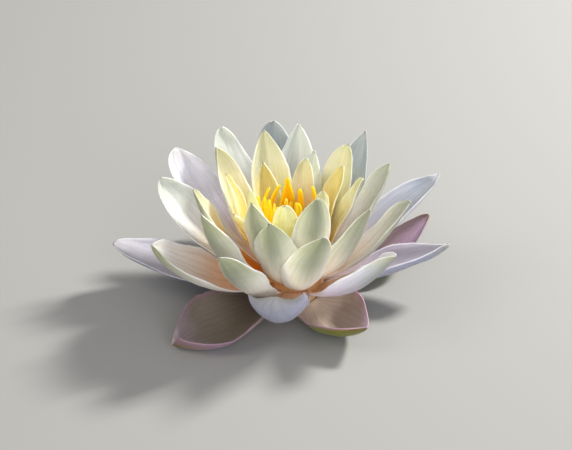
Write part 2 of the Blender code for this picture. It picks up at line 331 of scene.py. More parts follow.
def blade_point(blade, seat, rib, u, v, phase):
    """A point of the blade: u runs from root to tip, v from edge to edge (-1 to 1)."""
    notch = blade.notch / blade.length * math.exp(-((v / NOTCH_HALF_WIDTH) ** 2)) * past(u, *NOTCH) ** 2
    out, up = along(rib, u - notch)
    slope = climb(blade, seat, u)
    # The section curls
    wide = half_width(blade, u, v)
    share = blade.root_cup + (1 - blade.root_cup) * min(1.0, u / blade.cupped_by)
    curl = math.radians(blade.cup) * share
    side = wide / curl * math.sin(curl * v)
    lift = wide / curl * (1 - math.cos(curl * v)) + relief(blade, u, v, phase)
    # It twists about the midrib, and the root bends round the receptacle
    turn = math.radians(blade.twist * u)
    across = side * math.cos(turn) - lift * math.sin(turn) + blade.bow * 4 * u * (1 - u)
    lift = side * math.sin(turn) + lift * math.cos(turn)
    ring = rib[0][0]
    hug = ring - math.sqrt(max(ring**2 - across**2, 0.0))
    out -= hug * max(0.0, 1 - u / ROOT_HUG) ** 2
    out -= lift * math.sin(slope)
    up += lift * math.cos(slope)
    # It keeps clear of the receptacle and off the ground
    reach = math.hypot(out, across)
    need = least_reach(up, SEAT_GAP + BLADE / 2 * min(1.0, u / ROOT_CLEARING))
    if reach < need:
        out *= need / reach
        across *= need / reach
    up = max(up, BLADE / 2)
    h = math.radians(blade.heading + blade.swing * (1 - u) ** 2)
    x = AXIS_X + (out * math.cos(h) + across * math.sin(h)) * MM
    y = AXIS_Y + (out * math.sin(h) - across * math.cos(h)) * MM
    return Vector((x, y, up * MM))


# Materials

# Plant flesh: light sinks 1.8 mm into it, blue a little less than red and green
FLESH_IOR = 1.4
FLESH_SHEEN = 0.1
SHEEN_ROUGHNESS = 0.4
LIGHT_DEPTH = 0.0018
LIGHT_BY_COLOUR = (1.0, 0.97, 0.88)

# Patterns in space, as details to the metre: clouds 11 mm wide, mottling 6 mm, dimples 2.2 mm and upright
# streaks 0.7 mm wide and 5.6 mm long
CLOUDS = 90.0
MOTTLING = 160.0
FINE_DIMPLES = 450.0
UPRIGHT_STREAKS = (1500.0, 1500.0, 180.0)
# Veins across and along a blade's chart
PETAL_VEINS = (22.0, 1.6, 1.0)
SEPAL_VEINS = (14.0, 1.4, 1.0)
# Relief of the skins, drawn deeper than life to show
SKIN_RELIEF = 0.0002


def linear(code):
    """An sRGB hex colour as linear red, green, blue and alpha."""
    parts = [int(code[i:i + 2], 16) / 255 for i in (1, 3, 5)]
    return (*[p / 12.92 if p <= 0.04045 else ((p + 0.055) / 1.055) ** 2.4 for p in parts], 1.0)


def add(tree, kind, links=None, stops=None, **settings):
    """Add a node; links gives each input a value or another node's output, stops are a ramp's colours."""
    node = tree.nodes.new(kind)
    for name, value in settings.items():
        setattr(node, name, value)
    for place, value in (links or {}).items():
        if isinstance(value, bpy.types.NodeSocket):
            tree.links.new(value, node.inputs[place])
        else:
            node.inputs[place].default_value = value
    if stops:
        ramp = node.color_ramp.elements
        while len(ramp) < len(stops):
            ramp.new(0.5)
        for element, (place, colour) in zip(ramp, stops):
            element.position = place
            element.color = linear(colour)
    return node


def new_material(name, roughness, sheen=0.0, flesh=0.0):
    """A material with its node tree and shader; flesh is the share of the light that sinks in."""
    material = bpy.data.materials.new(name)
    material.use_nodes = True
    shader = material.node_tree.nodes["Principled BSDF"]
    shader.inputs["Roughness"].default_value = roughness
    shader.inputs["IOR"].default_value = FLESH_IOR
    shader.inputs["Sheen Weight"].default_value = sheen
    shader.inputs["Sheen Roughness"].default_value = SHEEN_ROUGHNESS
    shader.inputs["Subsurface Weight"].default_value = flesh
    shader.inputs["Subsurface Radius"].default_value = LIGHT_BY_COLOUR
    shader.inputs["Subsurface Scale"].default_value = LIGHT_DEPTH
    return material, material.node_tree, shader


def blade_places(tree):
    """A blade's own chart, its number, and the place in space."""
    chart = add(tree, "ShaderNodeUVMap", uv_map="blade")
    number = add(tree, "ShaderNodeAttribute", attribute_name="number")
    place = add(tree, "ShaderNodeSeparateXYZ", {0: chart.outputs["UV"]})
    spot = add(tree, "ShaderNodeTexCoord")
    return place, number.outputs["Fac"], spot.outputs["Object"]


def root_to_tip(tree, place, cloud, stops, wander):
    """Colours from root to tip, their bounds shifted by the cloud up to half of wander either way."""
    shift = add(tree, "ShaderNodeMath", {0: cloud.outputs["Fac"], 1: wander, 2: -wander / 2},
                operation="MULTIPLY_ADD")
    height = add(tree, "ShaderNodeMath", {0: place.outputs["Y"], 1: shift.outputs[0]}, operation="ADD")
    return add(tree, "ShaderNodeValToRGB", {0: height.outputs[0]}, stops=stops)


def lengthwise_chart(tree, place, number, scale):
    """The chart drawn out along the blade, in another layer of the pattern for each blade's number."""
    grain = add(tree, "ShaderNodeCombineXYZ", {0: place.outputs["X"], 1: place.outputs["Y"], 2: number})
    drawn = add(tree, "ShaderNodeMapping", {"Vector": grain.outputs[0], "Scale": scale})
    return drawn.outputs[0]


def from_middle(tree, place, centre=0.5):
    """Distance from centre across the chart: 0 to 1 from the midrib to a margin, where centre is 0.5."""
    middle = add(tree, "ShaderNodeMath", {0: place.outputs["X"], 1: 2.0, 2: -2 * centre},
                 operation="MULTIPLY_ADD")
    edge = add(tree, "ShaderNodeMath", {0: middle.outputs[0]}, operation="ABSOLUTE")
    return edge.outputs[0]


def finish_skin(tree, shader, colour, height, strength):
    """Give the shader its colour, and a relief by the height."""
    tree.links.new(colour, shader.inputs["Base Color"])
    bump = add(tree, "ShaderNodeBump", {"Height": height, "Distance": SKIN_RELIEF, "Strength": strength})
    tree.links.new(bump.outputs[0], shader.inputs["Normal"])


def petal_skin(name, lengthwise, inner, margin, streaks, roughness=0.45):
    """Water lily petal, a thin, fleshy, satin blade grown smooth, with fine veins from root to tip.

    lengthwise holds colours from root to tip. inner and streaks are each a colour and its share: the one
    along the midrib and the one of the veins. The UV map runs from margin to margin (x) and from root to
    tip (y), so the veins draw together at both ends. About 22 streaks on a 20 mm petal are 0.9 mm apart,
    as its veins are.
    """
    midrib_tone_or_shade, inner_share = inner
    streak_colour, streak_share = streaks
    material, tree, shader = new_material(name, roughness, sheen=FLESH_SHEEN, flesh=0.85)
    place, number, spot = blade_places(tree)
    cloud = add(tree, "ShaderNodeTexNoise", {"Vector": spot, "Scale": CLOUDS, "Detail": 3.0})
    flush = root_to_tip(tree, place, cloud, lengthwise, wander=0.16)
    # The midrib's colour fades in along the petal and out towards the margin; on the darker under faces it
    # is painted shade
    edge = from_middle(tree, place)
    fading = add(tree, "ShaderNodeMapRange", {"Value": edge, "From Min": 0.0, "From Max": 0.85,
                 "To Min": inner_share, "To Max": 0.0}, interpolation_type="SMOOTHSTEP")
    rising = add(tree, "ShaderNodeMapRange", {"Value": place.outputs["Y"], "From Min": 0.25,
                 "From Max": 0.75}, interpolation_type="SMOOTHSTEP")
    shade = add(tree, "ShaderNodeMath", {0: fading.outputs[0], 1: rising.outputs[0]}, operation="MULTIPLY")
    tinted = add(tree, "ShaderNodeMix", {"Factor": shade.outputs[0], 6: flush.outputs["Color"],
                 7: linear(midrib_tone_or_shade)}, data_type="RGBA")
    # Fine streaks along the petal
    drawn = lengthwise_chart(tree, place, number, PETAL_VEINS)
    veins = add(tree, "ShaderNodeTexNoise", {"Vector": drawn, "Scale": 1.0, "Detail": 4.0,
                "Roughness": 0.65})
    vein_line = add(tree, "ShaderNodeMapRange", {"Value": veins.outputs["Fac"], "From Min": 0.45,
                    "From Max": 0.75, "To Max": streak_share})
    veined = add(tree, "ShaderNodeMix", {"Factor": vein_line.outputs[0], 6: tinted.outputs[2],
                 7: linear(streak_colour)}, data_type="RGBA", blend_type="MULTIPLY")
    # The thin margin lets light through and looks paler, here more and there less
    rim = add(tree, "ShaderNodeMapRange", {"Value": edge, "From Min": 0.9, "From Max": 1.0},
              interpolation_type="SMOOTHSTEP")
    uneven = add(tree, "ShaderNodeMapRange", {"Value": cloud.outputs["Fac"], "From Min": 0.4,
                 "From Max": 0.6, "To Min": 0.0, "To Max": 0.8})
    thin = add(tree, "ShaderNodeMath", {0: rim.outputs[0], 1: uneven.outputs[0]}, operation="MULTIPLY")
    whole = add(tree, "ShaderNodeMix", {"Factor": thin.outputs[0], 6: veined.outputs[2],
                7: linear(margin)}, data_type="RGBA")
    # Veins stand 0.1 mm proud, over soft dimples some 2 mm wide
    dimples = add(tree, "ShaderNodeTexNoise", {"Vector": spot, "Scale": FINE_DIMPLES, "Detail": 3.0,
                  "Roughness": 0.6})
    skin = add(tree, "ShaderNodeMath", {0: dimples.outputs["Fac"], 1: 1.6, 2: veins.outputs["Fac"]},
               operation="MULTIPLY_ADD")
    finish_skin(tree, shader, whole.outputs[2], skin.outputs[0], strength=0.7)
    return material


OUTER_FACE = petal_skin(
    "satin petal, outer whorls, upper face",
    [(0.0, "#EABC90"), (0.2, "#E6D0C0"), (0.45, "#DEDBE3"), (0.8, "#E2E1EC"), (1.0, "#D2D0CE")],
    inner=("#E6E4EE", 0.2), margin="#F0EEF8", streaks=("#CCC2C8", 0.6))
# Outer under face: the dark grey-green along the midrib and towards the tip is painted shade
OUTER_BACK = petal_skin(
    "satin petal, outer whorls, under face",
    [(0.0, "#E4D4DC"), (0.4, "#CECADA"), (0.8, "#C4C8D0"), (1.0, "#A8AA92")],
    inner=("#868C86", 0.85), margin="#ECEEF6", streaks=("#D0D2D0", 0.5))
MIDDLE_FACE = petal_skin(
    "satin petal, middle whorls, upper face",
    [(0.0, "#F48E14"), (0.14, "#F6B256"), (0.28, "#F4DEC0"), (0.6, "#E8EBEA"), (1.0, "#BEC7BA")],
    inner=("#F4F4EE", 0.2), margin="#F6F8F4", streaks=("#DCD8C4", 0.6))
# Middle under face: the olive end is the petal's own green tinge, deepened as painted shade, and the dark
# midrib tint is painted shade
MIDDLE_BACK = petal_skin(
    "satin petal, middle whorls, under face",
    [(0.0, "#FFE2C4"), (0.35, "#FFF4E4"), (0.6, "#ECEADC"), (0.82, "#BCC0A8"), (1.0, "#8C9276")],
    inner=("#888F78", 0.75), margin="#F6F8F0", streaks=("#D4D5C8", 0.5))
CREAM_FACE = petal_skin(
    "satin petal, sixth whorl, upper face",
    [(0.0, "#F79A10"), (0.2, "#F2C474"), (0.45, "#F0E4B8"), (0.75, "#DCDBC2"), (1.0, "#B2B48E")],
    inner=("#F0ECC8", 0.3), margin="#F7F6E4", streaks=("#DCD6B0", 0.6))
INNER_FACE = petal_skin(
    "satin petal, inner whorls, upper face",
    [(0.0, "#F79A10"), (0.2, "#F4BC40"), (0.4, "#F0D47A"), (0.72, "#E2D8A0"), (1.0, "#B8B074")],
    inner=("#F0E4A0", 0.3), margin="#F7F5D8", streaks=("#E0D29C", 0.6))
INNER_BACK = petal_skin(
    "satin petal, inner whorls, under face",
    [(0.0, "#F4D88C"), (0.3, "#F2E8A6"), (0.75, "#EEECBA"), (1.0, "#CCCC98")],
    inner=("#D8D8A4", 0.5), margin="#F5F6DA", streaks=("#DEDEB4", 0.5))

# Petals that differ from the rest of their whorl, most of them darkened as painted shade
# Beige rather than lavender: painted shade of the petals above it
SHADED_BEIGE_FACE = petal_skin(
    "satin petal, shaded outer one, upper face",
    [(0.0, "#F0A45C"), (0.25, "#E4B894"), (0.5, "#D8C8BC"), (0.8, "#E2E0DC"), (1.0, "#D2D4C8")],
    inner=("#E0DAD6", 0.2), margin="#F2F2EE", streaks=("#D0C4B8", 0.6))
# Lowest whorl: pale lavender darkened to grey-lavender as painted shade
SHADED_DUSKY_FACE = petal_skin(
    "satin petal, lowest whorl, upper face in painted shade",
    [(0.0, "#D8B8AC"), (0.2, "#C6B8BA"), (0.45, "#BAB4BE"), (0.8, "#BCBAC6"), (1.0, "#B0AEB4")],
    inner=("#BEB8C2", 0.2), margin="#DEDCE6", streaks=("#C0B8BE", 0.6))
# Lavender under face, darkened as painted shade
SHADED_LAVENDER_BACK = petal_skin(
    "satin petal, lavender under face in painted shade",
    [(0.0, "#C4BCC4"), (0.4, "#AAAABA"), (0.8, "#A8AABC"), (1.0, "#A4A498")],
    inner=("#90929E", 0.6), margin="#D4D4E0", streaks=("#BEBEC6", 0.5))
# Lowest whorl's under face, darkened to slate as painted shade
SHADED_SLATE_BACK = petal_skin(
    "satin petal, lowest whorl, under face in painted shade",
    [(0.0, "#B8B0BA"), (0.4, "#9698AA"), (0.8, "#9296AC"), (1.0, "#9A9A92")],
    inner=("#7C7F8E", 0.6), margin="#D0D0DE", streaks=("#B4B4BE", 0.5))
# Olive end: the petal's own green tinge, darkened as painted shade on petals turned from the light
SHADED_OLIVE_FACE = petal_skin(
    "satin petal with an olive end in painted shade, upper face",
    [(0.0, "#F4D0AC"), (0.25, "#F2E8E0"), (0.5, "#DAD8D4"), (0.75, "#C2C4BE"), (1.0, "#969C8E")],
    inner=("#BCC0BC", 0.4), margin="#D6DAD2", streaks=("#D2D0CA", 0.6))
SHADED_OLIVE_BACK = petal_skin(
    "satin petal with an olive end in painted shade, under face",
    [(0.0, "#F8E6D8"), (0.35, "#E2DACA"), (0.7, "#B2B4A0"), (1.0, "#92967C")],
    inner=("#9CA08C", 0.6), margin="#DADCCE", streaks=("#C4C4B4", 0.5))
# Blue-grey end, darkened as painted shade
SHADED_GREY_FACE = petal_skin(
    "satin petal with a blue-grey end, upper face",
    [(0.0, "#F2C088"), (0.2, "#E6D8C8"), (0.45, "#D2D4D2"), (0.8, "#AEB8BE"), (1.0, "#9AA0A0")],
    inner=("#B4BCC0", 0.3), margin="#E4EAEC", streaks=("#C6C8C8", 0.6))
SLATE_FACE = petal_skin(
    "satin petal with a slate end and a white tip, upper face",
    [(0.0, "#EABC90"), (0.2, "#E6D4CC"), (0.45, "#D2D2E2"), (0.8, "#BEC4D4"), (0.92, "#929CAA"),
     (1.0, "#E4E8F0")],
    inner=("#F0F2FA", 0.3), margin="#EEF0F8", streaks=("#C2C2CE", 0.6))
# Amber base: the petal's own orange, carried further up as painted glow reflected from the stamens
AMBER_GLOW_FACE = petal_skin(
    "satin petal with an amber base and painted glow, upper face",
    [(0.0, "#F09020"), (0.35, "#F2B058"), (0.52, "#EACB98"), (0.7, "#DCD5BA"), (1.0, "#BCBE98")],
    inner=("#E4DEC4", 0.2), margin="#F2F2E0", streaks=("#DCD2B6", 0.6))


def sepal_skin(name, lengthwise, margin, veins, roughness, centre=0.5):
    """Water lily sepal, a thick leathery blade, with some 14 branching veins that fan out from its root.

    margin is a colour and where it starts on the way out from centre, which is 0.5 at the midrib. veins is
    a colour and its share.
    """
    margin_colour, margin_start = margin
    vein_colour, vein_share = veins
    material, tree, shader = new_material(name, roughness, sheen=FLESH_SHEEN, flesh=0.4)
    place, number, spot = blade_places(tree)
    cloud = add(tree, "ShaderNodeTexNoise", {"Vector": spot, "Scale": MOTTLING, "Detail": 5.0,
                "Roughness": 0.65})
    flush = root_to_tip(tree, place, cloud, lengthwise, wander=0.3)
    drawn = lengthwise_chart(tree, place, number, SEPAL_VEINS)
    lines = add(tree, "ShaderNodeTexWave", {"Vector": drawn, "Scale": 0.32, "Distortion": 2.6,
                "Detail": 2.0, "Detail Scale": 1.2}, wave_profile="SIN")
    fine = add(tree, "ShaderNodeMapRange", {"Value": lines.outputs["Fac"], "From Min": 0.82,
               "From Max": 1.0, "To Max": vein_share})
    veined = add(tree, "ShaderNodeMix", {"Factor": fine.outputs[0], 6: flush.outputs["Color"],
                 7: linear(vein_colour)}, data_type="RGBA")
    edge = from_middle(tree, place, centre)
    rim = add(tree, "ShaderNodeMapRange", {"Value": edge, "From Min": margin_start, "From Max": 1.0,
              "To Max": 0.7})
    whole = add(tree, "ShaderNodeMix", {"Factor": rim.outputs[0], 6: veined.outputs[2],
                7: linear(margin_colour)}, data_type="RGBA")
    skin = add(tree, "ShaderNodeMath", {0: cloud.outputs["Fac"], 1: 0.5, 2: lines.outputs["Fac"]},
               operation="MULTIPLY_ADD")
    finish_skin(tree, shader, whole.outputs[2], skin.outputs[0], strength=0.5)
    return material


SEPAL_FACE = sepal_skin(
    "leathery sepal, upper face",
    [(0.0, "#D8C6B0"), (0.3, "#B8A898"), (0.65, "#B4A49C"), (0.85, "#C8B4C0"), (1.0, "#D0BECC")],
    margin=("#B482A8", 0.88), veins=("#8C7A68", 0.22), roughness=0.5)
# Sepal under the bloom's shadow: dark grey-brown as painted shade, with a pale tip as painted light
SHADED_SEPAL_FACE = sepal_skin(
    "leathery sepal, grey-brown upper face",
    [(0.0, "#72695C"), (0.3, "#6C6356"), (0.7, "#72695F"), (0.9, "#8E7F84"), (1.0, "#C8B8C0")],
    margin=("#7C5E70", 0.84), veins=("#5C5146", 0.25), roughness=0.5)
# The darker brown towards the root is painted shade; the brown band along the margin is the sepal's own
# edge
ROSY_FACE = sepal_skin(
    "leathery sepal, rosy upper face",
    [(0.0, "#7E6E64"), (0.35, "#94807E"), (0.6, "#BAA0B6"), (0.9, "#C0A2BC"), (1.0, "#8A7058")],
    margin=("#54452A", 0.3), veins=("#8C7478", 0.3), roughness=0.6, centre=0.66)
SEPAL_BACK = sepal_skin(
    "leathery sepal, under face",
    [(0.0, "#9A9850"), (0.4, "#7E8226"), (0.8, "#70701C"), (1.0, "#6A5A24")],
    margin=("#A0788E", 0.85), veins=("#565C12", 0.5), roughness=0.6)
FLUSHED_BACK = sepal_skin(
    "leathery sepal, flushed under face",
    [(0.0, "#9A9850"), (0.4, "#8A8048"), (0.65, "#92788E"), (0.85, "#8E7A72"), (0.95, "#74701E"),
     (1.0, "#6A5A24")],
    margin=("#A07C98", 0.6), veins=("#6A6430", 0.3), roughness=0.6)


def fleshy_skin(name, low, high, streaks, roughness):
    """Soft plant flesh with fine upright streaks; low and high are each a colour and its height in mm."""
    low_colour, low_height = low
    high_colour, high_height = high
    material, tree, shader = new_material(name, roughness, sheen=FLESH_SHEEN, flesh=0.3)
    spot = add(tree, "ShaderNodeTexCoord").outputs["Object"]
    place = add(tree, "ShaderNodeSeparateXYZ", {0: spot})
    drawn = add(tree, "ShaderNodeMapping", {"Vector": spot, "Scale": UPRIGHT_STREAKS})
    grain = add(tree, "ShaderNodeTexNoise", {"Vector": drawn.outputs[0], "Scale": 1.0, "Detail": 3.0})
    height = add(tree, "ShaderNodeMapRange", {"Value": place.outputs["Z"], "From Min": low_height * MM,
                 "From Max": high_height * MM})
    body = add(tree, "ShaderNodeMix", {"Factor": height.outputs[0], 6: linear(low_colour),
               7: linear(high_colour)}, data_type="RGBA")
    streaky = add(tree, "ShaderNodeMapRange", {"Value": grain.outputs["Fac"], "From Min": 0.4,
                  "From Max": 0.7, "To Max": 0.6})
    whole = add(tree, "ShaderNodeMix", {"Factor": streaky.outputs[0], 6: body.outputs[2],
                7: linear(streaks)}, data_type="RGBA")
    finish_skin(tree, shader, whole.outputs[2], grain.outputs["Fac"], strength=0.5)
    return material


RECEPTACLE_SKIN = fleshy_skin(
    "fleshy receptacle", low=("#D8C49A", 3), high=("#F0B878", 14), streaks="#E8A060", roughness=0.5)
STALK_SKIN = fleshy_skin(
    "cut water plant stalk", low=("#C8C08C", 0.2), high=("#7E6A3A", 0.9), streaks="#6A5230", roughness=0.55)
BROAD_FACE = petal_skin(
    "petal-like stamen, inner face",
    [(0.0, "#F49000"), (0.4, "#FAB400"), (0.8, "#FFCA00"), (1.0, "#FFE020")],
    inner=("#F8A800", 0.3), margin="#FFDC10", streaks=("#F4BC40", 0.5))
BROAD_BACK = petal_skin(
    "petal-like stamen, outer face",
    [(0.0, "#F89400"), (0.4, "#FFC800"), (1.0, "#FFE418")],
    inner=("#F0C000", 0.4), margin="#FFE828", streaks=("#F0C060", 0.5))
SLIM_SKIN = petal_skin(
    "stamen with a powdery anther",
    [(0.0, "#F89800"), (0.5, "#FFC000"), (0.75, "#FFDC28"), (1.0, "#FFEC5C")],
    inner=("#FFBC00", 0.4), margin="#FFE438", streaks=("#F0C060", 0.5), roughness=0.65)
STIGMA_SKIN = fleshy_skin(
    "fleshy stigma", low=("#E8A020", 18), high=("#F4D040", 21), streaks="#F0B828", roughness=0.35)


# Making the pieces

def settle(piece, node):
    """Hang a finished piece under the root, and hide the solid that it stands for."""
    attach(piece, "root")
    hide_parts(node)
    piece.select_set(False)


def chart_and_number(mesh, places, number):
    """Lay the UV map from each vertex's place on its blade, and number the blade so its veins differ."""
    mesh.uv_layers[0].name = "blade"
    chart = mesh.uv_layers["blade"].data
    for loop in mesh.loops:
        chart[loop.index].uv = places[loop.vertex_index]
    mark = mesh.attributes.new("number", "FLOAT", "POINT")
    mark.data.foreach_set("value", [number * VEIN_STEP] * len(mesh.vertices))


def turned(profile, sides, skin):
    """A solid turned about the axis, extruded ring by ring from its foot up."""
    bpy.ops.object.select_all(action="DESELECT")
    radius, height = profile[0]
    bpy.ops.mesh.primitive_circle_add(vertices=sides, radius=radius * MM, fill_type="NGON",
                                      location=(AXIS_X, AXIS_Y, height * MM))
    body = bpy.context.active_object
    bpy.ops.object.mode_set(mode="EDIT")
    for (r0, z0), (r1, z1) in zip(profile, profile[1:]):
        bpy.ops.mesh.extrude_region_move(TRANSFORM_OT_translate={"value": (0, 0, (z1 - z0) * MM)})
        bpy.ops.transform.resize(value=(r1 / r0, r1 / r0, 1), center_override=(AXIS_X, AXIS_Y, z1 * MM))
    bpy.ops.mesh.select_all(action="SELECT")
    bpy.ops.mesh.normals_make_consistent(inside=False)
    bpy.ops.object.mode_set(mode="OBJECT")
    bpy.ops.object.transform_apply(location=True, rotation=True, scale=True)
    chart_and_number(body.data, [(0.5, 0.0)] * len(body.data.vertices), 0)
    body.data.materials.append(skin)
    return body


def joined(name, things):
    """All of things made one object, under a name."""
    bpy.ops.object.select_all(action="DESELECT")
    for thing in things:
        thing.select_set(True)
    bpy.context.view_layer.objects.active = things[0]
    bpy.ops.object.join()
    things[0].name = name
    return things[0]


# Sepals and petals

def grow_blade(node, blade, seat, number, grid, slot, face, back):
    """A grid shaped by the rule, walled thinner at its margin, with its own skin on each side."""
    bpy.ops.object.select_all(action="DESELECT")
    columns, rows = grid
    bpy.ops.mesh.primitive_grid_add(x_subdivisions=columns, y_subdivisions=rows, size=2)
    sheet = bpy.context.active_object
    sheet.name = f"{node}_fine"
    mesh = sheet.data
    rib = midrib(blade, seat)
    phase = number * PHASE_STEP
    flesh = sheet.vertex_groups.new(name="flesh")
    places = []
    for vertex in mesh.vertices:
        u = 1 - (0.5 - vertex.co.y / 2) ** ROW_CROWDING
        # Columns are drawn together towards the margins
        v = math.sin(math.pi / 2 * vertex.co.x) * 0.5 + vertex.co.x * 0.5
        places.append((v / 2 + 0.5, u))
        flesh.add([vertex.index], max(0.0, 1 - abs(v) ** 4) * max(0.0, 1 - u**6), "REPLACE")
        vertex.co = blade_point(blade, seat, rib, u, v, phase)
    chart_and_number(mesh, places, number)
    mesh.materials.append(face)
    mesh.materials.append(back)
    wall = sheet.modifiers.new("wall", "SOLIDIFY")
    wall.thickness = BLADE * MM
    wall.offset = 0.0
    wall.vertex_group = "flesh"
    wall.thickness_vertex_group = THIN_MARGIN
    wall.material_offset = 1
    bpy.ops.object.modifier_apply(modifier="wall")
    bpy.ops.object.shade_smooth()
    settle(sheet, node)


# Petals whose colours aren't those of their whorl; several are darkened as painted shade, and two carry
# painted glow
OTHER_SKINS = {
    "petal_1_1": (SHADED_DUSKY_FACE, SHADED_SLATE_BACK), "petal_1_2": (SHADED_DUSKY_FACE, SHADED_SLATE_BACK),
    "petal_2_1": (SHADED_BEIGE_FACE, MIDDLE_BACK), "petal_2_2": (SLATE_FACE, OUTER_BACK),
    "petal_3_2": (OUTER_FACE, SHADED_LAVENDER_BACK),
    "petal_4_1": (SHADED_OLIVE_FACE, SHADED_OLIVE_BACK), "petal_4_2": (SHADED_GREY_FACE, MIDDLE_BACK),
    "petal_4_3": (OUTER_FACE, OUTER_BACK), "petal_4_6": (SHADED_GREY_FACE, MIDDLE_BACK),
    "petal_5_3": (SHADED_OLIVE_FACE, SHADED_OLIVE_BACK), "petal_5_4": (MIDDLE_FACE, SHADED_OLIVE_BACK),
    "petal_5_6": (AMBER_GLOW_FACE, MIDDLE_BACK),
    "petal_7_1": (CREAM_FACE, MIDDLE_BACK), "petal_7_2": (MIDDLE_FACE, MIDDLE_BACK),
    "petal_8_1": (AMBER_GLOW_FACE, INNER_BACK),
}
OTHER_SEPAL_SKINS = {
    "sepal_front_left": (SHADED_SEPAL_FACE, FLUSHED_BACK), "sepal_back_right": (ROSY_FACE, SEPAL_BACK),
}

for number, (node, blade) in enumerate(SEPALS.items(), SEPALS_COUNT_FROM):
    skins = OTHER_SEPAL_SKINS.get(node, (SEPAL_FACE, SEPAL_BACK))
    grow_blade(node, blade, WHORL_SEAT[0], number, SEPAL_GRID, "sepal", *skins)

number = 0
for whorl, blades in PETALS.items():
    if whorl <= 2:
        slot, face, back = "petal_outer", OUTER_FACE, OUTER_BACK
    elif whorl <= 5:
        slot, face, back = "petal_middle", MIDDLE_FACE, MIDDLE_BACK
    elif whorl == 6:
        slot, face, back = "petal_inner", CREAM_FACE, MIDDLE_BACK
    else:
        slot, face, back = "petal_inner", INNER_FACE, INNER_BACK
    grid = WIDE_GRID if whorl <= 5 else NARROW_GRID
    for place, blade in enumerate(blades, 1):
        number += 1
        node = f"petal_{whorl}_{place}"
        skins = OTHER_SKINS.get(node, (face, back))
        grow_blade(node, blade, WHORL_SEAT[whorl], number, grid, slot, *skins)


# Receptacle and stalk

bulb_step = (BULB_HIGHEST - BULB_LOWEST) / BULB_STEPS
receptacle = turned([bulb_point(BULB_LOWEST + bulb_step * i) for i in range(BULB_STEPS + 1)], BULB_SIDES,
                    RECEPTACLE_SKIN)
receptacle.name = "receptacle_fine"
bpy.ops.object.shade_smooth_by_angle(angle=math.radians(SMOOTH_UNDER))
settle(receptacle, "receptacle")

stalk_top = bulb_point(BULB_LOWEST)[1] - SEAT_GAP
stalk = turned([(STALK_RADIUS - STALK_FOOT_INSET, 0.0), (STALK_RADIUS, STALK_EDGE),
                (STALK_RADIUS, stalk_top - STALK_EDGE), (STALK_RADIUS - STALK_EDGE, stalk_top)],
               STALK_SIDES, STALK_SKIN)
stalk.name = "stalk_fine"
bpy.ops.object.shade_smooth_by_angle(angle=math.radians(SMOOTH_UNDER))
settle(stalk, "stalk")


# Stamens, on collars over the receptacle's flat top

CROWN = bulb_point(BULB_HIGHEST)[1] + SEAT_GAP
COLLAR_WIDTH = 0.9
COLLAR_HEIGHT = 1.3
# The inner edge of a collar's foot stands this much higher than the outer one
COLLAR_FLOOR = 0.05
COLLAR_SIDES = 64
# Stamens: the height of their roots, and the radii of their rings
ROOT_RISE = 0.3
BROAD_RING = 6.3
SLIM_RING = 5.0
# The slim ones stand up to SLIM_SPREAD degrees out of even spacing, and their lengths are drawn too
SLIM_COUNT = 20
SLIM_SPREAD = 3
SLIM_LENGTHS = (19, 23)
SLIM_SEED = 8
# Where the rounded end of a broad stamen and of an anther starts, and its share of the length
BROAD_END = (0.93, 0.07)
ANTHER_END = (0.88, 0.12)
# A vertex nearer than this to a unit sphere's axis is its pole
POLE_REACH = 1e-6


def collar(radius, skin):
    """The low ring that the stamens' roots are sunk in."""
    inner, outer = radius - COLLAR_WIDTH / 2, radius + COLLAR_WIDTH / 2
    return turned([(outer, CROWN), (outer, CROWN + COLLAR_HEIGHT), (inner, CROWN + COLLAR_HEIGHT),
                   (inner, CROWN + COLLAR_FLOOR)], COLLAR_SIDES, skin)


def rounded(share, start, span):
    """1 along a finger, falling to 0 as a quarter circle over its end."""
    return math.sqrt(max(0.0, 1 - past(share, start, span) ** 2))


def tongue_shape(share):
    """A flat finger, as wide as ever for most of its length, with a rounded end."""
    end = rounded(share, *BROAD_END)
    return (0.85 + 0.4 * share - 0.6 * share**2) * end, (1.0 - 0.4 * share) * end


def spade_shape(share):
    """The broadest stamen: widest at its middle and drawn to a blunt tip."""
    wide = 0.6 + 0.8 * share if share < 0.5 else (2 - 2 * share) ** 0.75
    end = rounded(share, *BROAD_END)
    return max(wide, 0.26) * end, (1.1 - 0.4 * share) * end


def thread_shape(share):
    """A thread that swells into its anther over the upper half."""
    anther = 1 / (1 + math.exp(-(share - 0.5) * 30))
    end = rounded(share, *ANTHER_END)
    return (0.6 + 0.4 * anther) * end, (0.7 + 0.3 * anther) * end


def ray_shape(share):
    """A short finger with a rounded end."""
    thick = math.sin(math.pi * (0.2 + 0.75 * share)) ** 0.6
    return thick, thick


@dataclass
class Finger:
    """One kind of stamen, or the stigma's rays."""

    # Distance of the root from the axis, and its height over the crown
    ring: float
    rise: float
    # Size across, and how it changes along the finger
    width: float
    depth: float
    shape: Callable
    # The sphere that the finger is drawn out from, and its inner and outer skin
    segments: int
    rings: int
    skins: tuple


